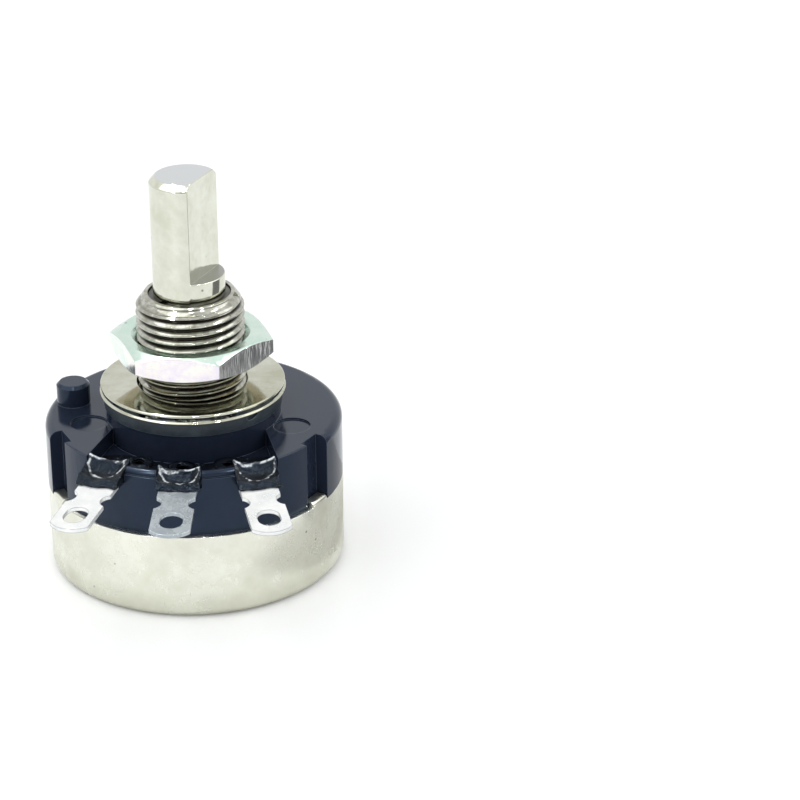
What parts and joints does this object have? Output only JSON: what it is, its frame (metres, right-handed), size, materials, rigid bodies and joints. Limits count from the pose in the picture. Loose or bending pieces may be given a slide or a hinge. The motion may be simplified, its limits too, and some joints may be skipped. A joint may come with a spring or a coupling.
{
  "type": "rotary potentiometer",
  "caption": "Round rotary potentiometer: moulded case with metal rear cover, threaded bushing with nut and washer, D-shaft, solder lugs and a locating pin.",
  "frame": {"origin": "on the shaft axis, in the plane of the mounting face (the end of the round boss that meets the panel)", "axes": "+Z along the shaft towards its tip, -Y towards the middle solder lug"},
  "size_m": [0.0249, 0.0319, 0.0341],
  "materials": {
    "phenolic": "moulded phenolic, glossy black",
    "cover_nickel": "nickel-plated steel sheet, soft satin",
    "bushing_nickel": "nickel-plated brass, bright turned thread",
    "gasket_rubber": "dark rubber, slight sheen",
    "washer_nickel": "nickel-plated steel, bright",
    "nut_zinc": "zinc-plated steel, pale passivation",
    "shaft_nickel": "nickel-plated brass, fine turned",
    "spring_steel": "dark spring steel",
    "bronze": "phosphor bronze",
    "rotor_moulding": "brown moulded phenolic",
    "carbon": "matt carbon",
    "laminate": "phenolic paper laminate",
    "silver_plate": "silver-plated brass",
    "lug_tin": "tinned brass, bright",
    "varnish": "black sealing varnish, glossy"
  },
  "bodies": {
    "case": {"housing": "phenolic", "rear_cover": "cover_nickel", "bushing": "bushing_nickel", "sealing_gasket": "gasket_rubber", "flat_washer": "washer_nickel", "thrust_washer": "bronze", "element_board": "laminate", "carbon_track": "carbon", "collector_ring": "silver_plate", "terminal_1": "lug_tin", "terminal_2": "lug_tin", "terminal_3": "lug_tin", "rivet_1": "silver_plate", "rivet_2": "silver_plate", "rivet_3": "silver_plate", "sealant_1": "varnish", "sealant_2": "varnish", "sealant_3": "varnish"},
    "shaft_assembly": {"shaft": "shaft_nickel", "retaining_ring": "spring_steel", "rotor": "rotor_moulding", "stop_plate": "spring_steel", "wiper_spring": "bronze", "track_brush": "carbon", "ring_brush": "carbon"},
    "nut": {"mounting_nut": "nut_zinc"}
  },
  "joints": [
    {"name": "shaft_turn", "type": "hinge", "parent": "case", "child": "shaft_assembly", "pos_m": [0, 0, 0], "axis": [0, 0, 1], "range_deg": [-150, 150]},
    {"name": "nut_travel", "type": "slide", "parent": "case", "child": "nut", "axis": [0, 0, 1], "range_m": [-0.0021, 0.0023]}
  ]
}
